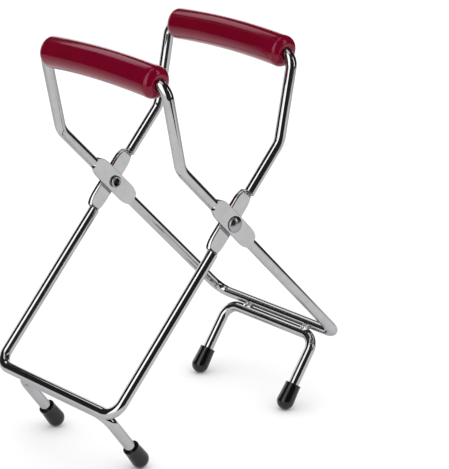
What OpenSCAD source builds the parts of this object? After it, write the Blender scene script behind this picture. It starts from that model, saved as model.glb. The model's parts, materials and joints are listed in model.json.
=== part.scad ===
// Jar lifter: two wire frames crossed on two rivets, with grips, jaw brackets and rubber tips.
// Units are mm, +Z is up, and the origin is on the floor midway between the four rubber tips.

/* [Wire] */
// diameter of the round wire of frames and brackets
wire_d = 5; // [4:0.1:6]

/* [Frames] */
// distance between the two legs of a frame, wire centre to wire centre
leg_spacing = 80; // [60:1:110]
// how far each leg leans from upright at rest, in degrees
leg_angle = 43.6; // [34:0.1:50]
// wire centre of the bottom bar from the pivot, along the leg
lower_leg = 98.6; // [80:0.1:130]
// knee from the pivot, along the leg
knee_height = 42; // [30:0.1:60]
// how far the wire bends at the knee, in degrees
knee_bend = 32; // [20:0.5:40]
// radius of the knee bend at the wire centre
knee_radius = 11; // [7:0.5:16]
// wire centre of the handle bar from the knee, along the upper leg
upper_leg = 39.1; // [28:0.1:60]
// radius of the two bends beside the grip, at the wire centre
handle_radius = 6; // [5:0.5:9]
// radius of the two bends of the bottom bar, at the wire centre
bottom_radius = 7; // [5:0.5:12]

/* [Pivot] */
// gap between the two crossing pivot plates
plate_gap = 0.5; // [0.3:0.05:1]
// width of the flattened pivot plate
plate_w = 9; // [7.5:0.1:11]
// length of the flattened pivot plate
plate_l = 34.4; // [30:0.1:38]
// length over which the inner half of the wire is pressed away
shoulder_l = 29.4; // [24:0.1:32]
// rivet shank diameter
rivet_d = 4; // [3:0.1:4.6]
// how far the rivet head reaches past the shank, each side
head_rim = 1.7; // [1:0.1:1.9]
// rivet head height
head_h = 1.9; // [1:0.1:2.4]
// how far the rolled rivet tail reaches past the shank, each side
tail_rim = 0.8; // [0.5:0.1:1]

/* [Grips] */
// distance from the centre of a leg to the end of its grip
grip_inset = 3.75; // [3.75:0.25:12]
// diameter of a grip
grip_d = 14.4; // [11:0.1:18]
// rise of a grip's middle above its ends
grip_arch = 1.6; // [0.8:0.1:3]
// radius of the rounding at the grip's ends
grip_round = 3.4; // [2:0.1:3.6]
// gap around the wire at the grip's ends
mouth_gap = 0.8; // [0.7:0.05:0.9]

/* [Jaws] */
// distance between the two legs of a jaw bracket, centre to centre
jaw_spacing = 59; // [40:1:80]
// length of a jaw bracket leg from its bar, including the part inside the rubber
jaw_leg = 33.2; // [28:0.1:44]
// how far the jaw legs lean downward from square to the frame, in degrees
jaw_angle = 10.8; // [4:0.1:18]
// radius of the bracket bends at the wire centre
jaw_radius = 7; // [5:0.5:10]
// distance between the two welds of a bracket
weld_spacing = 38.6; // [24:0.1:42]
// how far the pair of welds sits off the middle of the bar
weld_shift = -2.7; // [-3:0.1:3]

/* [Rubber tips] */
// wall of a rubber tip at its open end
tip_wall = 1.05; // [0.8:0.05:2]
// how much wider a rubber tip is at its round end
tip_flare = 1; // [0.2:0.1:2]
// length of a rubber tip
tip_l = 12.8; // [10:0.1:18]
// depth of the hole in a rubber tip
tip_bore = 9.2; // [7:0.1:9.6]

/* [Fits] */
// clearance each side between wire and grip or rubber tip
push_gap = 0.05; // [0.02:0.01:0.08]
// clearance each side between rivet and plate hole
pivot_gap = 0.05; // [0.03:0.01:0.08]
// gap between bracket bar and bottom bar, filled by the welds
weld_gap = 0.4; // [0.3:0.05:0.6]
// clearance under the rivet head and under its rolled tail
face_gap = 0.08; // [0.05:0.01:0.12]

/* [Hidden] */
$fn = 64;
wire_r = wire_d / 2;
half_legs = leg_spacing / 2;
half_jaws = jaw_spacing / 2;
knee_cut = knee_radius * tan(knee_bend / 2);
knee_step = 0.02;
knee_lap = 0.4;
butt_gap = 0.6;
bar_gap = wire_d + weld_gap;

plate_out = wire_r + 0.05;
plate_in = -plate_gap / 2;
plate_t = plate_out + plate_in;
head_d = rivet_d + 2 * head_rim;
tail_d = rivet_d + 2 * tail_rim;

grip_l = leg_spacing - 2 * grip_inset;
grip_mouth_d = wire_d + 2 * mouth_gap;
arch_r = (pow(grip_l / 2, 2) + pow(grip_arch, 2)) / (2 * grip_arch);
arch_half = asin(grip_l / 2 / arch_r);
arch_trim = asin(grip_round / arch_r);

tip_mouth_d = wire_d + 2 * push_gap + 2 * tip_wall;
tip_d = tip_mouth_d + tip_flare;
tip_start = jaw_leg - tip_bore + 0.1;
tip_ball = tip_start + tip_l - tip_d / 2;
ball_side = bar_gap + tip_ball * cos(jaw_angle);
ball_down = lower_leg + tip_ball * sin(jaw_angle);
pivot_z = ball_down * cos(leg_angle) + ball_side * sin(leg_angle) + tip_d / 2;

steel = [0.78, 0.79, 0.81];
dull_steel = [0.66, 0.66, 0.68];
red_plastic = [0.45, 0.02, 0.1];
black_rubber = [0.09, 0.09, 0.09];

// The frame of reference of one frame's lower legs: pivot at the origin, +Z up the leg.
module at_leg() {
    translate([0, 0, pivot_z]) rotate([0, -leg_angle, 0]) children();
}

// The frame of reference of one frame's handle: knee at the origin, +Z up the upper leg.
module at_handle() {
    at_leg() translate([0, 0, knee_height]) rotate([0, knee_bend, 0]) children();
}

// The frame of reference of one jaw bracket: bar at the origin, legs along +Z.
module at_jaw() {
    at_leg() translate([-bar_gap, 0, -lower_leg]) rotate([0, -90 - jaw_angle, 0]) children();
}

// The other side of the lifter is the same side turned half round.
module opposite() {
    rotate([0, 0, 180]) children();
}

module ring_part(radius, turn, thick) {
    rotate_extrude(angle = turn) translate([radius, 0]) circle(d = thick);
}

// A planar U of wire: legs along Z at both sides, bends of the given radius, and a bar on Y.
module wire_u(half, reach, start, radius) {
    for (side = [-1, 1]) {
        translate([0, side * half, start])
            cylinder(d = wire_d, h = reach - radius - start);
    }
    rotate([90, 0, 90]) {
        translate([half - radius, reach - radius]) ring_part(radius, 90, wire_d);
        translate([radius - half, reach - radius]) rotate([0, 0, 90]) ring_part(radius, 90, wire_d);
    }
    translate([0, half - radius, reach]) rotate([90, 0, 0])
        cylinder(d = wire_d, h = 2 * (half - radius));
}

module knee(side) {
    translate([knee_radius, side * half_legs, knee_height - knee_cut]) rotate([90, 0, 180])
        ring_part(knee_radius, knee_bend, wire_d + 2 * knee_step);
}

// Half width of the pressed plate at a distance along the leg.
function end_part(s) = max(0, min(1, (abs(s) / (plate_l / 2) - 0.47) / 0.53));
function plate_half(s) = plate_w / 2 - (plate_w / 2 - 1.3) * pow(end_part(s), 3);

module plate_outline() {
    steps = 32;
    upper = [for (i = [0:steps]) [plate_half(plate_l * (i / steps - 0.5)),
                                  plate_l * (i / steps - 0.5)]];
    lower = [for (i = [steps:-1:0]) [-upper[i][0], upper[i][1]]];
    polygon(concat(upper, lower));
}

module plate(side) {
    translate([0, side * half_legs - plate_out, 0]) rotate([-90, 0, 0])
        linear_extrude(plate_t) plate_outline();
}

module pressed_away(side) {
    translate([-plate_w, side * half_legs + plate_in, -shoulder_l / 2])
        cube([2 * plate_w, wire_d, shoulder_l]);
}

module pivot_hole(side) {
    translate([0, side * half_legs, 0]) rotate([90, 0, 0])
        cylinder(d = rivet_d + 2 * pivot_gap, h = 3 * wire_d, center = true);
}

module lower_legs() {
    mirror([0, 0, 1])
        wire_u(half_legs, lower_leg, knee_cut - knee_height - knee_lap, bottom_radius);
}

module wire_frame() {
    color(steel) {
        at_leg() difference() {
            union() {
                difference() {
                    lower_legs();
                    for (side = [-1, 1]) pressed_away(side);
                }
                for (side = [-1, 1]) plate(side);
                for (side = [-1, 1]) knee(side);
            }
            for (side = [-1, 1]) pivot_hole(side);
        }
        at_handle() difference() {
            wire_u(half_legs, upper_leg, knee_cut - knee_lap, handle_radius);
            translate([0, 0, upper_leg]) cube([2 * wire_d, butt_gap, 2 * wire_d], center = true);
        }
    }
}

// Rounded end of a grip, starting half a millimetre inside the grip's body.
module grip_end() {
    flat = grip_d / 2 - grip_round - 0.02;
    rotate_extrude() {
        translate([0, -0.5]) square([flat + grip_round, 0.5]);
        square([flat, grip_round]);
        intersection() {
            translate([flat, 0]) circle(r = grip_round);
            square([grip_d, grip_round]);
        }
    }
}

module grip_body() {
    rotate([90, 0, 90]) rotate([0, 0, 90 - arch_half + arch_trim])
        rotate_extrude(angle = 2 * (arch_half - arch_trim)) translate([arch_r, 0])
            circle(d = grip_d);
    for (side = [-1, 1]) {
        rotate([-side * (arch_half - arch_trim), 0, 0]) translate([0, 0, arch_r])
            rotate([-side * 90, 0, 0]) grip_end();
    }
}

module grip_bore() {
    translate([0, 0, upper_leg]) rotate([90, 0, 0]) {
        cylinder(d = wire_d + 2 * push_gap, h = 2 * grip_l, center = true);
        for (side = [-1, 1]) {
            translate([0, 0, side * grip_l / 2])
                cylinder(d = grip_mouth_d, h = 2 * handle_radius, center = true);
        }
    }
}

module grip() {
    color(red_plastic) at_handle() difference() {
        translate([0, 0, upper_leg + grip_arch - arch_r]) grip_body();
        grip_bore();
    }
}

// Two weld beads in the valley between bracket bar and bottom bar.
module welds() {
    at_leg() difference() {
        for (side = [-1, 1]) {
            translate([-bar_gap / 2, weld_shift + side * weld_spacing / 2, 0.32 * wire_d - lower_leg])
                sphere(r = 0.34 * wire_d);
        }
        translate([0, 0, -lower_leg]) rotate([90, 0, 0])
            cylinder(d = wire_d + 0.06, h = leg_spacing, center = true);
    }
}

module jaw_bracket() {
    color(steel) {
        at_jaw() mirror([0, 0, 1]) wire_u(half_jaws, 0, -jaw_leg, jaw_radius);
        welds();
    }
}

// Rubber tip: a slightly tapered sleeve with a round closed end.
module rubber_tip(side) {
    color(black_rubber) at_jaw() translate([0, side * half_jaws, tip_start]) difference() {
        union() {
            cylinder(d1 = tip_mouth_d, d2 = tip_d, h = tip_l - tip_d / 2);
            translate([0, 0, tip_l - tip_d / 2]) sphere(d = tip_d);
        }
        translate([0, 0, -1]) cylinder(d = wire_d + 2 * push_gap, h = tip_bore + 1);
        cylinder(d1 = wire_d + 1, d2 = wire_d, h = 1);
    }
}

// Rivet with a domed head outside and a hollow rolled tail inside.
module rivet() {
    head_z = plate_out + face_gap;
    dome_r = (pow(head_d / 2, 2) + pow(head_h, 2)) / (2 * head_h);
    color(dull_steel) translate([0, -half_legs, pivot_z]) rotate([90, 0, 0]) difference() {
        union() {
            intersection() {
                translate([0, 0, head_z]) cylinder(d = head_d, h = head_h);
                translate([0, 0, head_z + head_h - dome_r]) sphere(r = dome_r);
            }
            translate([0, 0, -head_z - 0.9]) cylinder(d = rivet_d, h = 2 * head_z + 0.9 + head_h / 2);
            translate([0, 0, -head_z - 0.6]) rotate_extrude()
                translate([tail_d / 2 - 0.6, 0]) circle(r = 0.6);
        }
        translate([0, 0, -head_z - 2]) cylinder(d1 = rivet_d - 0.6, d2 = rivet_d - 1.4, h = 4.2);
    }
}

wire_frame();  // frame_a
opposite() wire_frame();  // frame_b
grip();  // grip_a
opposite() grip();  // grip_b
jaw_bracket();  // bracket_a
opposite() jaw_bracket();  // bracket_b
rubber_tip(1);  // tip_a1
rubber_tip(-1);  // tip_a2
opposite() rubber_tip(1);  // tip_b1
opposite() rubber_tip(-1);  // tip_b2
rivet();  // rivet_1
opposite() rivet();  // rivet_2
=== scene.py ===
"""Looks of the jar lifter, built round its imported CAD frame. Metres, +Z up, the CAD's own axes."""

import json
import math

import bmesh
import bpy
import numpy as np
from mathutils import Matrix, Vector


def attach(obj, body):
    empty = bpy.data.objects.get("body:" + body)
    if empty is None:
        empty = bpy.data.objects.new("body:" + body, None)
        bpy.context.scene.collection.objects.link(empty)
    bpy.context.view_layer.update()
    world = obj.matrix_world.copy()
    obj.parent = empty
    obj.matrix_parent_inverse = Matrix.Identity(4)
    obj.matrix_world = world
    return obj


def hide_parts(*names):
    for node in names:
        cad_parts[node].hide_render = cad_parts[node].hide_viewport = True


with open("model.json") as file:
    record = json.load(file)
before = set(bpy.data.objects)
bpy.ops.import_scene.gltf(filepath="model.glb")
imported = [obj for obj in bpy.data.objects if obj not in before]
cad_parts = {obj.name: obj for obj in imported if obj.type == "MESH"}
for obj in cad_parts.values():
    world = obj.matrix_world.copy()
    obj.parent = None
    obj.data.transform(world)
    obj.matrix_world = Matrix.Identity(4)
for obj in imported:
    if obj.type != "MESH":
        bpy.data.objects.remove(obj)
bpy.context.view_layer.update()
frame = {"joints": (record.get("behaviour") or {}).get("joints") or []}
MM = 0.001

# ---------------------------------------------------------------- sizes of the CAD design

# wire frame
WIRE_R = 2.5 * MM
HALF_LEGS = 40 * MM
LEG_ANGLE = math.radians(43.6)
LOWER_LEG = 98.6 * MM
KNEE_HEIGHT = 42 * MM
KNEE_BEND = math.radians(32)
KNEE_R = 11 * MM
KNEE_CUT = KNEE_R * math.tan(KNEE_BEND / 2)
UPPER_LEG = 39.1 * MM
HANDLE_R = 6 * MM
BOTTOM_R = 7 * MM
BUTT = 0.3 * MM

# pressed pivot plate and its rivet
PLATE_HALF = 4.5 * MM
PLATE_REACH = 17.2 * MM
PLATE_TAPER = 0.47
PLATE_TIP = 1.3 * MM
PLATE_END = 15.95 * MM
SHOULDER = 14.7 * MM
PLATE_IN = -0.25 * MM
RIVET_R = 2 * MM
HOLE_R = 2.05 * MM

# grip
GRIP_R = 7.2 * MM
GRIP_HALF = 36.25 * MM
GRIP_ARCH = 1.6 * MM
GRIP_ROUND = 3.4 * MM
GRIP_BORE_R = 2.55 * MM

# jaw bracket
HALF_JAWS = 29.5 * MM
JAW_LEG = 33.2 * MM
JAW_ANGLE = math.radians(10.8)
JAW_R = 7 * MM
BAR_GAP = 5.4 * MM
HALF_WELDS = 19.3 * MM
WELD_SHIFT = -2.7 * MM

# rubber tip
TIP_MOUTH_R = 3.6 * MM
TIP_R = 4.1 * MM
TIP_START = 24.1 * MM
TIP_L = 12.8 * MM
TIP_BORE = 9.2 * MM
TIP_BORE_R = 2.55 * MM

PIVOT = Vector(frame["joints"][0]["pos_m"])
AT_LEG = Matrix.Translation(PIVOT) @ Matrix.Rotation(-LEG_ANGLE, 4, "Y")
AT_KNEE = AT_LEG @ Matrix.Translation((0, 0, KNEE_HEIGHT))
AT_HANDLE = AT_KNEE @ Matrix.Rotation(KNEE_BEND, 4, "Y")
AT_JAW = (
    AT_LEG
    @ Matrix.Translation((-BAR_GAP, 0, -LOWER_LEG))
    @ Matrix.Rotation(-math.pi / 2 - JAW_ANGLE, 4, "Y")
)
OPPOSITE = Matrix.Rotation(math.pi, 4, "Z")

# ---------------------------------------------------------------- details of the visual alone

PLATE_SIDE_R = 2.2 * MM  # the plate's sides bulge with this radius,
PLATE_SIDE_MID = -1.8 * MM  # about this height in its section
PLATE_FILLET = 0.18 * MM
PLATE_BLEND = 0.6 * MM  # the wire turns from flat to round over this much width, and length
STEP_HALF = 0.35 * MM  # half the length of the step at the shoulder

PIT_AT = (-2.12 * MM, 15.4 * MM)  # the press mark's place across and along the leg
PIT_R = 0.45 * MM
PIT_REACH = (-4 * MM, -0.6 * MM)  # from outside the wire to the pit's bottom, along Y
DRILL_REACH = (-4 * MM, 4 * MM)

WIRE_SHARP = 32  # degrees between faces, above which an edge stays sharp
GRIP_SHARP = 42
TIP_SHARP = 50
OTHER_SHARP = 38

# materials: base colours from their low to their high, or the high alone
CHROME_TONE = (0.45, 0.452, 0.458)
CHROME_EDGE = (0.62, 0.62, 0.64, 1)
WELD_TONE = (0.7, 0.7, 0.7)
RIVET_TONE = (0.33, 0.33, 0.338)
GRIP_TONES = (0.128, 0.0, 0.0102), (0.145, 0.0, 0.012)
GRIP_GLOSS = (1, 0.4, 0.55, 1)
RUBBER_TONES = (0.0015, 0.0015, 0.0016), (0.003, 0.003, 0.0031)
FLOOR_TONES = (0.93, 0.93, 0.93), (0.95, 0.95, 0.95)

# studio: strengths of light
WORLD_LIGHT = 1.22
FLAG_LIGHT = 0.03
SOFTBOX_LIGHT = 2.5
BACKDROP_LIGHT = 2.1
STRIP_LIGHT = 1.6

CAMERA_AT = (-0.593776, -0.672613, 0.414703)
CAMERA_ALONG = (0.64129493, 0.68762867, -0.34045209)
CAMERA_LENS = 162.95


# ---------------------------------------------------------------- mesh helpers


def smooth(t):
    t = min(1.0, max(0.0, t))
    return t * t * (3 - 2 * t)


def mix(a, b, t):
    return a + (b - a) * t


def flip_y(v):
    return Vector((v.x, -v.y, v.z))


def soften(mesh, sharp_deg):
    """Merges doubled points, turns normals outward, and shades smooth up to sharp_deg."""
    bm = bmesh.new()
    bm.from_mesh(mesh)
    bmesh.ops.remove_doubles(bm, verts=bm.verts, dist=1e-7)
    bmesh.ops.recalc_face_normals(bm, faces=bm.faces)
    for face in bm.faces:
        face.smooth = True
    for edge in bm.edges:
        edge.smooth = edge.calc_face_angle(0) < math.radians(sharp_deg)
    bm.to_mesh(mesh)
    bm.free()


def linked(name, mesh):
    """A new object of the mesh, in the scene."""
    made = bpy.data.objects.new(name, mesh)
    bpy.context.scene.collection.objects.link(made)
    return made


def mesh_object(name, verts, faces, sharp_deg):
    mesh = bpy.data.meshes.new(name)
    mesh.from_pydata([tuple(v) for v in verts], [], faces)
    soften(mesh, sharp_deg)
    return linked(name, mesh)


def skin(rings, closed=False):
    """Faces that join equal rings of points one after another; open ends get a cap."""
    around = len(rings[0])
    faces = []
    for i in range(len(rings) if closed else len(rings) - 1):
        a = i * around
        b = (i + 1) % len(rings) * around
        for j in range(around):
            k = (j + 1) % around
            faces.append((a + j, b + j, b + k, a + k))
    if not closed:
        last = (len(rings) - 1) * around
        faces.append(tuple(range(around)))
        faces.append(tuple(last + j for j in range(around)))
    return faces


def placed(matrix, points):
    m = np.array(matrix)
    return points @ m[:3, :3].T + m[:3, 3]


def section(half_w, low, high, side_r, mid, fillet, count):
    """A wire's outline pressed flat at low and high, as (count, 2) points: its sides still bulge
    with radius side_r about height mid, and fillet breaks the corners. Closer at the corners."""
    core = side_r - fillet
    centre = half_w - side_r
    bottom = math.asin(max(-1.0, (low + fillet - mid) / core))
    top = math.asin(min(1.0, (high - fillet - mid) / core))
    x_low, x_top = centre + core * math.cos(bottom), centre + core * math.cos(top)
    y_low, y_top = low + fillet, high - fillet
    half_turn = math.pi
    joint_dense, side_dense, corner_dense = 1, 3, 8  # shares of the points for equal lengths
    steps = 24
    parts = []
    for start, end, cx, cy, radius, dense in (
        (0, top, centre, mid, side_r, side_dense),
        (top, half_turn / 2, x_top, y_top, fillet, corner_dense),
        (half_turn / 2, half_turn - top, -x_top, y_top, fillet, corner_dense),
        (half_turn - top, half_turn - bottom, -centre, mid, side_r, side_dense),
        (half_turn - bottom, 1.5 * half_turn, -x_low, y_low, fillet, corner_dense),
        (1.5 * half_turn, 2 * half_turn + bottom, x_low, y_low, fillet, corner_dense),
        (2 * half_turn + bottom, 2 * half_turn, centre, mid, side_r, side_dense),
    ):
        for k in range(steps + 1):
            a = start + (end - start) * k / steps
            weight = dense if k else joint_dense
            parts.append((cx + radius * math.cos(a), cy + radius * math.sin(a), weight))
    points = np.array(parts)
    runs = np.hypot(*np.diff(points[:, :2], axis=0).T) * points[1:, 2]
    along = np.concatenate([[0], np.cumsum(runs)])
    at = np.linspace(0, along[-1], count, endpoint=False)
    return np.stack([np.interp(at, along, points[:, k]) for k in (0, 1)], 1)


def circle(radius, count):
    a = np.arange(count) * 2 * math.pi / count
    return np.stack([radius * np.cos(a), radius * np.sin(a)], 1)


def arc(cx, cy, radius, start, end, steps):
    """Points of an arc from start to end, in degrees."""
    angles = [math.radians(start + (end - start) * i / steps) for i in range(steps + 1)]
    return [(cx + radius * math.cos(a), cy + radius * math.sin(a)) for a in angles]


def revolve(name, profile, matrix, count, sharp_deg, raised=None):
    """A solid of revolution about local Z from (radius, height) points, both ends on the axis.
    raised(angle, radius) adds to the radius."""
    rings = []
    for r, z in profile:
        ring = []
        for i in range(count):
            a = 2 * math.pi * i / count
            extra = raised(a, r) if raised and r else 0.0
            ring.append(((r + extra) * math.cos(a), (r + extra) * math.sin(a), z))
        rings.append(np.array(ring))
    faces = [f for f in skin(rings) if len(f) == 4]
    verts = placed(matrix, np.concatenate(rings))
    return mesh_object(name, verts, faces, sharp_deg)


def turned(obj, name):
    """A copy of a piece for the other side of the lifter, which is the same side turned half round."""
    mesh = obj.data.copy()
    mesh.name = name
    mesh.transform(OPPOSITE)
    return linked(name, mesh)


def settled(obj):
    """Makes the piece's modifiers part of its mesh."""
    done = bpy.data.meshes.new_from_object(
        obj.evaluated_get(bpy.context.evaluated_depsgraph_get())
    )
    obj.modifiers.clear()
    obj.data = done


def drill(obj, centre, radius, reach):
    """A round hole along Y, from reach[0] to reach[1] off the centre."""
    steps = 48
    bm = bmesh.new()
    for y in reach:
        for i in range(steps):
            a = 2 * math.pi * i / steps
            bm.verts.new(centre + Vector((radius * math.cos(a), y, radius * math.sin(a))))
    bm.verts.ensure_lookup_table()
    for i in range(steps):
        k = (i + 1) % steps
        bm.faces.new([bm.verts[j] for j in (i, k, steps + k, steps + i)])
    bm.faces.new([bm.verts[j] for j in range(steps)])
    bm.faces.new([bm.verts[steps + j] for j in range(steps)])
    bmesh.ops.recalc_face_normals(bm, faces=bm.faces)
    mesh = bpy.data.meshes.new("cutter")
    bm.to_mesh(mesh)
    bm.free()
    cutter = linked("cutter", mesh)
    cut = obj.modifiers.new("cut", "BOOLEAN")
    cut.operation = "DIFFERENCE"
    cut.solver = "EXACT"
    cut.object = cutter
    settled(obj)
    bpy.data.objects.remove(cutter)


# ---------------------------------------------------------------- wire paths


def station(matrix, point, tangent, across, s=None):
    """A place on a wire: centre, the two axes of its section, and, where the wire may be pressed,
    its height above the pivot along the leg."""
    rot = matrix.to_3x3()
    t = rot @ Vector(tangent).normalized()
    w = rot @ Vector(across).normalized()
    return (matrix @ Vector(point), w, t.cross(w), s)


def bend_yz(matrix, cy, cz, radius, start, end):
    """A bend in the plane of the legs, from start down to end in degrees about (cy, cz)."""
    steps = 16
    made = []
    for i in range(steps + 1):
        a = math.radians(start + (end - start) * i / steps)
        point = (0, cy + radius * math.cos(a), cz + radius * math.sin(a))
        tangent = (0, math.sin(a), -math.cos(a))
        made.append(station(matrix, point, tangent, (1, 0, 0)))
    return made


def mirrored_on(half):
    """A path from its +Y half: the half itself, then its mirror image run backwards."""
    return half + [(flip_y(centre), w, flip_y(b), s) for centre, w, b, s in reversed(half)]


def frame_path():
    """Stations along one frame's wire, from one end inside the grip, down the +Y leg, along the
    bottom bar and up the -Y leg to its other end."""
    half = [station(AT_HANDLE, (0, BUTT, UPPER_LEG), (0, 1, 0), (1, 0, 0))]
    half += bend_yz(AT_HANDLE, HALF_LEGS - HANDLE_R, UPPER_LEG - HANDLE_R, HANDLE_R, 90, 0)
    knee_steps = 12
    for i in range(knee_steps + 1):
        a = KNEE_BEND * (1 - i / knee_steps)
        z = KNEE_HEIGHT - KNEE_CUT + KNEE_R * math.sin(a)
        point = (KNEE_R * (1 - math.cos(a)), HALF_LEGS, z)
        half.append(
            station(AT_LEG, point, (-math.sin(a), 0, -math.cos(a)), (math.cos(a), 0, -math.sin(a)))
        )
    # in mm: stations 0.5 apart on the plate, and 0.12 apart where it narrows to the wire
    narrowing = np.arange(11.6, 17.3, 0.12)
    spots = np.concatenate([np.arange(-11.5, 11.6, 0.5), narrowing, -narrowing])
    for s in sorted(spots, reverse=True):
        half.append(station(AT_LEG, (0, HALF_LEGS, s * MM), (0, 0, -1), (1, 0, 0), s * MM))
    half += bend_yz(AT_LEG, HALF_LEGS - BOTTOM_R, BOTTOM_R - LOWER_LEG, BOTTOM_R, 0, -90)
    return mirrored_on(half)


def bracket_path():
    """Stations along one jaw bracket's wire, from inside one rubber tip to inside the other."""
    half = [station(AT_JAW, (0, HALF_JAWS, JAW_LEG), (0, 0, -1), (1, 0, 0))]
    half += bend_yz(AT_JAW, HALF_JAWS - JAW_R, JAW_R, JAW_R, 0, -90)
    return mirrored_on(half)


def ring_at(place, points):
    """Section points set into the row frame at a station."""
    centre, w, b, _ = place
    return np.array(centre) + points[:, :1] * np.array(w) + points[:, 1:] * np.array(b)


def chamfered_ends(rings, path):
    """The wire's rings with its two cut ends, their edges broken."""
    cut, left = 0.35 * MM, 0.86
    ends = []
    for ring, place, sign in ((rings[0], path[0], -1), (rings[-1], path[-1], 1)):
        centre, w, b, _ = place
        out = np.array(w.cross(b)) * sign * cut
        ends.append(np.array(centre) + (ring - np.array(centre)) * left + out)
    return [ends[0], *rings, ends[1]]


# ---------------------------------------------------------------- pieces of metal


def pressed_section(s, side_y, count):
    """Section of the wire at a height above the pivot: round, or pressed into the flat plate.
    side_y is +1 or -1: how the section's second axis runs along Y."""
    away = abs(s)
    taper = max(0.0, (away / PLATE_REACH - PLATE_TAPER) / (1 - PLATE_TAPER))
    half_w = max(WIRE_R, PLATE_HALF - (PLATE_HALF - PLATE_TIP) * taper**3)
    flat = smooth((half_w - WIRE_R) / PLATE_BLEND)
    pressed = smooth((SHOULDER + STEP_HALF - away) / (2 * STEP_HALF))
    points = section(
        half_w,
        -WIRE_R,
        mix(WIRE_R, PLATE_IN, pressed),
        mix(WIRE_R, PLATE_SIDE_R, flat),
        mix(0, PLATE_SIDE_MID, flat),
        PLATE_FILLET,
        count,
    )
    if side_y < 0:
        points = np.roll((points * [1, -1])[::-1], 1, axis=0)
    return points


def wire_frame(name):
    """One frame: a single bent wire, pressed flat where it crosses the other frame. Each plate
    has its rivet hole, and a small pit left by the press at its upper end."""
    around = 80
    path = frame_path()
    rings = []
    for place in path:
        s, side_y = place[3], place[2].y
        if s is None or abs(s) > PLATE_END + PLATE_BLEND:
            rings.append(ring_at(place, circle(WIRE_R, around)))
        else:
            rings.append(ring_at(place, pressed_section(s, side_y, around)))
    rings = chamfered_ends(rings, path)
    made = mesh_object(name, np.concatenate(rings), skin(rings), WIRE_SHARP)
    for y in (-HALF_LEGS, HALF_LEGS):
        drill(made, Vector((0, y, PIVOT.z)), HOLE_R, DRILL_REACH)
        drill(made, AT_LEG @ Vector((PIT_AT[0], y, PIT_AT[1])), PIT_R, PIT_REACH)
    soften(made.data, WIRE_SHARP)
    return made


def jaw_bracket(name):
    """One jaw bracket: a wire bent to a U."""
    path = bracket_path()
    rings = [ring_at(place, circle(WIRE_R, 64)) for place in path]
    rings = chamfered_ends(rings, path)
    return mesh_object(name, np.concatenate(rings), skin(rings), WIRE_SHARP)


def weld_bead(name, y, lean):
    """A small uneven puddle of metal in the valley between bracket bar and bottom bar. lean sets
    its length and the run of its lumps."""
    outward, upward = 0.5 * MM, 1.3 * MM
    half_x, half_y, half_z = 2.5 * MM, (2.6 + 0.3 * lean) * MM, 1.6 * MM
    matrix = AT_LEG @ Matrix.Translation((-BAR_GAP / 2 - outward, y, upward - LOWER_LEG))
    bm = bmesh.new()
    bmesh.ops.create_icosphere(bm, subdivisions=4, radius=1)
    for vert in bm.verts:
        p = vert.co
        # broad lumps, then finer ones
        lump = 0.09 * math.sin(5.1 * p.x + lean) * math.cos(4.3 * p.y - lean)
        lump += 0.06 * math.sin(9.7 * p.y + 6.1 * p.z + 2 * lean)
        size = 1 + lump
        vert.co = matrix @ Vector((p.x * half_x * size, p.y * half_y * size, p.z * half_z * size))
    for face in bm.faces:
        face.smooth = True
    mesh = bpy.data.meshes.new(name)
    bm.to_mesh(mesh)
    bm.free()
    return linked(name, mesh)


def rivet(name):
    """A rivet with a low domed head outside and a rolled hollow tail inside."""
    under = 2.63 * MM  # from the joint's middle to the underside of head and tail
    head_r, head_h, head_edge = 3.7 * MM, 1.9 * MM, 0.1 * MM
    dome_deg, dome_steps = 85, 18
    roll_r, roll_at = 0.6 * MM, 2.2 * MM
    mouth_r, mouth_out = 1.6 * MM, 0.2 * MM  # the hollow narrows from its mouth to its end
    neck_r, neck_at = 1.5 * MM, -1.6 * MM
    end_r, end_at = 1.3 * MM, -0.43 * MM
    profile = []
    for i in range(dome_steps + 1):
        a = math.radians(90 - dome_deg * i / dome_steps)
        profile.append((head_r * math.cos(a) if i else 0, under + head_h * math.sin(a)))
    profile.append((head_r - head_edge, under))
    profile += [(RIVET_R, under), (RIVET_R, -under)]
    profile += arc(roll_at, -under - roll_r, roll_r, 75, -150, 14)
    profile += [(mouth_r, -under - mouth_out), (neck_r, neck_at), (end_r, end_at), (0, end_at)]
    matrix = Matrix.Translation((0, -HALF_LEGS, PIVOT.z)) @ Matrix.Rotation(math.pi / 2, 4, "X")
    return revolve(name, profile, matrix, 72, OTHER_SHARP)


# ---------------------------------------------------------------- grips and rubber tips


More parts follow.
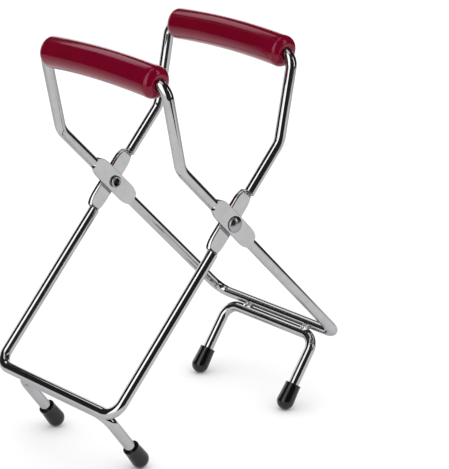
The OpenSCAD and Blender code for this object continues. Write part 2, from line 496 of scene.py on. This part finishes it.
def grip(name):
    """An arched round grip with rounded ends and a hole that follows the wire."""
    arch_r = (GRIP_HALF**2 + GRIP_ARCH**2) / (2 * GRIP_ARCH)
    centre_z = UPPER_LEG + GRIP_ARCH - arch_r
    length = arch_r * math.asin(GRIP_HALF / arch_r)

    def skin_ring(along, radius):
        """A ring of the outer skin, at a distance along the arch from its middle."""
        angle = along / arch_r
        centre = (0, arch_r * math.sin(angle), centre_z + arch_r * math.cos(angle))
        tangent = (0, math.cos(angle), -math.sin(angle))
        return ring_at(station(AT_HANDLE, centre, tangent, (1, 0, 0)), circle(radius, 96))

    def bore_ring(along, radius):
        """A ring of the hole, whose middle sinks with the wire where the wire bends down."""
        past = max(0.0, (abs(along) - HALF_LEGS + HANDLE_R) / HANDLE_R)
        centre = (0, along, UPPER_LEG - HANDLE_R * (1 - math.sqrt(1 - past**2)))
        return ring_at(station(AT_HANDLE, centre, (0, 1, 0), (1, 0, 0)), circle(radius, 96))

    start = length - GRIP_ROUND
    outside = [(x, GRIP_R) for x in np.linspace(0, start, 17)]
    round_steps = 14
    for i in range(1, round_steps + 1):
        a = math.radians(90 * i / round_steps)
        outside.append((start + GRIP_ROUND * math.sin(a), GRIP_R - GRIP_ROUND * (1 - math.cos(a))))
    lip, throat = 0.35 * MM, 2.7 * MM
    lip_steps = 8
    inside = []
    for i in range(lip_steps + 1):
        a = math.radians(90 * i / lip_steps)
        inside.append((GRIP_HALF - lip * (1 - math.cos(a)), throat + lip * (1 - math.sin(a))))
    for bends, radius in ((0.2, 2.65 * MM), (0.35, 2.6 * MM), (0.5, GRIP_BORE_R)):
        inside.append((GRIP_HALF - bends * HANDLE_R, radius))
    rings = [skin_ring(-x, radius) for x, radius in outside[:0:-1]]
    rings += [skin_ring(x, radius) for x, radius in outside]
    rings += [bore_ring(x, radius) for x, radius in inside]
    rings += [bore_ring(-x, radius) for x, radius in reversed(inside)]
    return mesh_object(name, np.concatenate(rings), skin(rings, True), GRIP_SHARP)


def rubber_tip(name, side):
    """A moulded rubber cap: thin rim, slightly tapered sleeve, round end, faint seam."""
    end = TIP_START + TIP_L
    ball = end - TIP_R
    bottom = TIP_START + TIP_BORE
    chamfer = 0.5 * MM
    profile = [(0, bottom), (TIP_BORE_R - chamfer, bottom), (TIP_BORE_R, bottom - chamfer)]
    # the mouth, from the bore outward: mm past a radius, and mm from where the tip starts
    rim = 0.14
    for radius, more, along in (
        (TIP_BORE_R, 0, 0.25),
        (TIP_BORE_R, 0.15, 0.05),
        (TIP_BORE_R, 0.35, 0),
        (TIP_MOUTH_R, -0.05, 0),
        (TIP_MOUTH_R, rim, 0.1),
        (TIP_MOUTH_R, rim, 0.7),
        (TIP_MOUTH_R, 0.1, 1),
    ):
        profile.append((radius + more * MM, TIP_START + along * MM))
    sleeve_steps = 12
    for i in range(1, sleeve_steps):
        t = i / sleeve_steps
        profile.append((mix(TIP_MOUTH_R + 0.08 * MM, TIP_R, t), mix(TIP_START + MM, ball, t)))
    profile += arc(0, ball, TIP_R, 0, 88, 20)
    profile.append((0, end))

    seam_height, seam_width = 0.05 * MM, 0.05
    inside_r = 3 * MM

    def seam(angle, radius):
        """The mould's parting line, on the outside alone."""
        if radius < inside_r:
            return 0.0
        return seam_height * math.exp(-((math.sin(angle) / seam_width) ** 2))

    matrix = AT_JAW @ Matrix.Translation((0, side * HALF_JAWS, 0))
    return revolve(name, profile, matrix, 120, TIP_SHARP, seam)


# ---------------------------------------------------------------- materials


def map_range(node, values):
    """Sets a Map Range node's four limits: from lowest, from highest, to lowest, to highest."""
    for socket, value in zip(("From Min", "From Max", "To Min", "To Max"), values):
        node.inputs[socket].default_value = value


class Nodes:
    """A node tree of one material, with its shader."""

    def __init__(self, name):
        self.material = bpy.data.materials.new(name)
        self.material.use_nodes = True
        self.tree = self.material.node_tree
        self.shader = self.tree.nodes["Principled BSDF"]
        self.place = self.tree.nodes.new("ShaderNodeTexCoord").outputs["Object"]

    def new(self, kind, **inputs):
        node = self.tree.nodes.new("ShaderNode" + kind)
        for socket, value in inputs.items():
            self.give(node, socket.replace("_", " "), value)
        return node

    def give(self, node, socket, value):
        if isinstance(value, bpy.types.NodeSocket):
            self.tree.links.new(value, node.inputs[socket])
        else:
            node.inputs[socket].default_value = value

    def set(self, **inputs):
        for socket, value in inputs.items():
            self.give(self.shader, socket.replace("_", " "), value)

    def noise(self, scale, detail, roughness=0.5):
        """Noise by the place on the object."""
        made = self.new("TexNoise", Vector=self.place, Scale=scale, Detail=detail)
        made.inputs["Roughness"].default_value = roughness
        return made.outputs["Fac"]

    def ramp(self, fac, low, high):
        """fac's 0.35 to 0.65 turned into a colour between low and high."""
        node = self.new("ValToRGB", Fac=fac)
        ends = node.color_ramp.elements
        ends[0].position, ends[1].position = 0.35, 0.65
        ends[0].color, ends[1].color = (*low, 1), (*high, 1)
        return node.outputs["Color"]

    def span(self, fac, low, high):
        """fac's 0.3 to 0.7 turned into low to high."""
        node = self.new("MapRange", Value=fac)
        map_range(node, (0.3, 0.7, low, high))
        return node.outputs["Result"]

    def bump(self, height, depth, normal=None):
        """A bump of that depth, on top of another where normal is given."""
        node = self.new("Bump", Height=height, Strength=1.0, Distance=depth)
        if normal is not None:
            self.give(node, "Normal", normal)
        return node.outputs["Normal"]


def chrome(name, shade, low_rough, high_rough):
    """Bright nickel and chrome plate: a little uneven in tone and polish, with faint ripples."""
    n = Nodes(name)
    cloud = n.noise(220, 6, 0.65)
    low = tuple(c * 0.9 for c in shade)
    n.set(Base_Color=n.ramp(cloud, low, shade), Metallic=1.0)
    n.set(Roughness=n.span(n.noise(420, 5, 0.65), low_rough, high_rough))
    n.set(Specular_Tint=CHROME_EDGE, Normal=n.bump(n.noise(240, 2), 0.006 * MM))
    return n.material


def grip_plastic():
    """Glossy deep red vinyl with a faint orange-peel skin."""
    n = Nodes("grip_plastic")
    n.set(Base_Color=n.ramp(n.noise(90, 3), *GRIP_TONES))
    n.set(Roughness=n.span(n.noise(500, 4), 0.1, 0.14), Specular_IOR_Level=0.58)
    n.set(Specular_Tint=GRIP_GLOSS, Normal=n.bump(n.noise(240, 2), 0.012 * MM))
    return n.material


def tip_rubber():
    """Black rubber with a low gloss and a fine grain."""
    n = Nodes("tip_rubber")
    n.set(Base_Color=n.ramp(n.noise(700, 4, 0.6), *RUBBER_TONES))
    n.set(Roughness=n.span(n.noise(1500, 3), 0.16, 0.23), Specular_IOR_Level=0.4)
    grain = n.bump(n.noise(4200, 3, 0.6), 0.006 * MM)
    n.set(Normal=n.bump(n.noise(900, 2), 0.012 * MM, grain))
    return n.material


def floor_white():
    """Plain pale floor."""
    n = Nodes("floor_white")
    n.set(Base_Color=n.ramp(n.noise(3, 2), *FLOOR_TONES), Roughness=0.8)
    n.set(Specular_IOR_Level=0.1)
    return n.material


def glow(name, strength, fade=None):
    """A panel's surface: bright for a softbox, near black for a flag. With fade = (near, far,
    end), strength changes evenly to end between those two distances from the middle."""
    material = bpy.data.materials.new(name)
    material.use_nodes = True
    tree = material.node_tree
    tree.nodes.clear()
    light = tree.nodes.new("ShaderNodeEmission")
    light.inputs["Strength"].default_value = strength
    if fade:
        near, far, end = fade
        place = tree.nodes.new("ShaderNodeTexCoord")
        away = tree.nodes.new("ShaderNodeVectorMath")
        away.operation = "LENGTH"
        tree.links.new(place.outputs["Object"], away.inputs[0])
        span = tree.nodes.new("ShaderNodeMapRange")
        map_range(span, (near, far, strength, end))
        tree.links.new(away.outputs["Value"], span.inputs["Value"])
        tree.links.new(span.outputs["Result"], light.inputs["Strength"])
    out = tree.nodes.new("ShaderNodeOutputMaterial")
    tree.links.new(light.outputs["Emission"], out.inputs["Surface"])
    return material


# ---------------------------------------------------------------- studio


def direction(azimuth):
    """Level unit vector from the object; azimuth 0 is the side a camera looking along +Y is on."""
    a = math.radians(azimuth)
    return Vector((math.sin(a), -math.cos(a), 0))


def panel(name, radii, azimuths, heights, material):
    """A curved panel round the object, from (radii[0], heights[0]) to (radii[1], heights[1])
    and between two azimuths in degrees. It is seen only in the object's polished surfaces."""
    steps = 24
    verts = []
    for i in range(steps + 1):
        side = direction(mix(azimuths[0], azimuths[1], i / steps))
        for radius, height in zip(radii, heights):
            verts.append((side.x * radius, side.y * radius, height))
    faces = [(2 * i, 2 * i + 2, 2 * i + 3, 2 * i + 1) for i in range(steps)]
    mesh = bpy.data.meshes.new(name)
    mesh.from_pydata(verts, [], faces)
    made = linked(name, mesh)
    made.data.materials.append(material)
    for seen in ("camera", "diffuse", "shadow", "transmission", "volume_scatter"):
        setattr(made, "visible_" + seen, False)


def wall(name, radius, azimuths, heights, material):
    """An upright panel."""
    panel(name, (radius, radius), azimuths, heights, material)


def studio():
    """A white room with dark flags and softboxes, which give the wires their bands, and two
    glowing panels just above the floor, dimmer further out: painted shade of the floor, seen only in
    reflections."""
    world = bpy.data.worlds.new("studio")
    bpy.context.scene.world = world
    world.use_nodes = True
    world.node_tree.nodes["Background"].inputs["Color"].default_value = (1, 1, 1, 1)
    world.node_tree.nodes["Background"].inputs["Strength"].default_value = WORLD_LIGHT

    floor_mesh = bpy.data.meshes.new("floor")
    bm = bmesh.new()
    bmesh.ops.create_circle(bm, cap_ends=True, radius=6, segments=96)
    bm.to_mesh(floor_mesh)
    bm.free()
    floor = linked("floor", floor_mesh)
    floor.data.materials.append(floor_white())

    flag = glow("flag_black", FLAG_LIGHT)
    box = glow("softbox", SOFTBOX_LIGHT)
    wall("flag_front", 0.42, (-55, 16), (0, 1.6), flag)
    wall("flag_right", 0.85, (16, 112), (0, 3.2), flag)
    wall("softbox_left", 0.8, (-101, -57), (0.06, 1.5), box)
    wall("flag_left", 0.8, (-160, -101), (0, 3.2), flag)
    wall("strip_front", 0.8, (25, 36), (0.15, 1.0), box)
    # painted shade: panels lying over the floor, seen only in reflections, glowing less from near to
    # far as a shaded copy of the floor
    shade_left = glow("shade_left", 1.2, (0.16, 0.5, 0.6))
    shade_right = glow("shade_right", 1.15, (0.3, 0.84, 0.6))
    panel("floor_shade_left", (0.16, 0.79), (-165, -101), (MM, MM), shade_left)
    panel("floor_shade_right", (0.3, 0.84), (45, 112), (MM, MM), shade_right)
    wall("backdrop", 1.6, (112, 200), (0, 0.75), glow("backdrop_white", BACKDROP_LIGHT))
    wall("flag_back", 1.62, (112, 200), (0.75, 5), flag)
    wall("strip_back", 0.6, (150, 186), (0.6, 0.9), glow("strip_white", STRIP_LIGHT))


def camera():
    """The photograph's viewpoint."""
    data = bpy.data.cameras.new("camera")
    data.sensor_width = 36
    data.lens = CAMERA_LENS
    data.clip_start, data.clip_end = 0.01, 50
    made = linked("camera", data)
    made.location = CAMERA_AT
    made.rotation_mode = "QUATERNION"
    made.rotation_quaternion = Vector(CAMERA_ALONG).to_track_quat("-Z", "Y")
    bpy.context.scene.camera = made


# ---------------------------------------------------------------- assembly


def dress(piece, body, material, slot, *nodes):
    """Gives a piece its material and its body, and hides the CAD nodes it stands for; slot is not
    used.
    """
    piece.data.materials.clear()
    piece.data.materials.append(material)
    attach(piece, body)
    if nodes:
        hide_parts(*nodes)


def both(make, names, nodes, material, slot, *args):
    """Builds a piece for side a and its turned copy for side b."""
    first = make(names[0], *args)
    second = turned(first, names[1])
    for piece, node, body in zip((first, second), nodes, ("side_a", "side_b")):
        dress(piece, body, material, slot, *([node] if node else []))


wire_chrome = chrome("chrome_wire", CHROME_TONE, 0.05, 0.1)
bracket_chrome = chrome("bracket_wire", CHROME_TONE, 0.06, 0.12)
weld_metal = chrome("weld_metal", WELD_TONE, 0.22, 0.36)
rivet_metal = chrome("rivet_steel", RIVET_TONE, 0.2, 0.3)
red_plastic = grip_plastic()
black_rubber = tip_rubber()

names = ("wire_frame_a", "wire_frame_b")
both(wire_frame, names, ("frame_a", "frame_b"), wire_chrome, "chrome_wire")
names = ("grip_sleeve_a", "grip_sleeve_b")
both(grip, names, ("grip_a", "grip_b"), red_plastic, "grip_plastic")
names = ("jaw_bracket_a", "jaw_bracket_b")
both(jaw_bracket, names, ("bracket_a", "bracket_b"), bracket_chrome, "bracket_wire")
for number, y, lean in ((1, WELD_SHIFT + HALF_WELDS, 0.4), (2, WELD_SHIFT - HALF_WELDS, -0.3)):
    names = (f"weld_a{number}", f"weld_b{number}")
    both(weld_bead, names, (None, None), weld_metal, "bracket_wire", y, lean)
for number, side in ((1, 1), (2, -1)):
    names = (f"rubber_cap_a{number}", f"rubber_cap_b{number}")
    both(rubber_tip, names, (f"tip_a{number}", f"tip_b{number}"), black_rubber, "tip_rubber", side)

near_rivet = rivet("rivet_near")
far_rivet = turned(near_rivet, "rivet_far")
dress(near_rivet, "side_a", rivet_metal, "rivet_steel", "rivet_1")
dress(far_rivet, "side_a", rivet_metal, "rivet_steel", "rivet_2")

studio()
camera()
bpy.context.scene.view_settings.view_transform = "Standard"
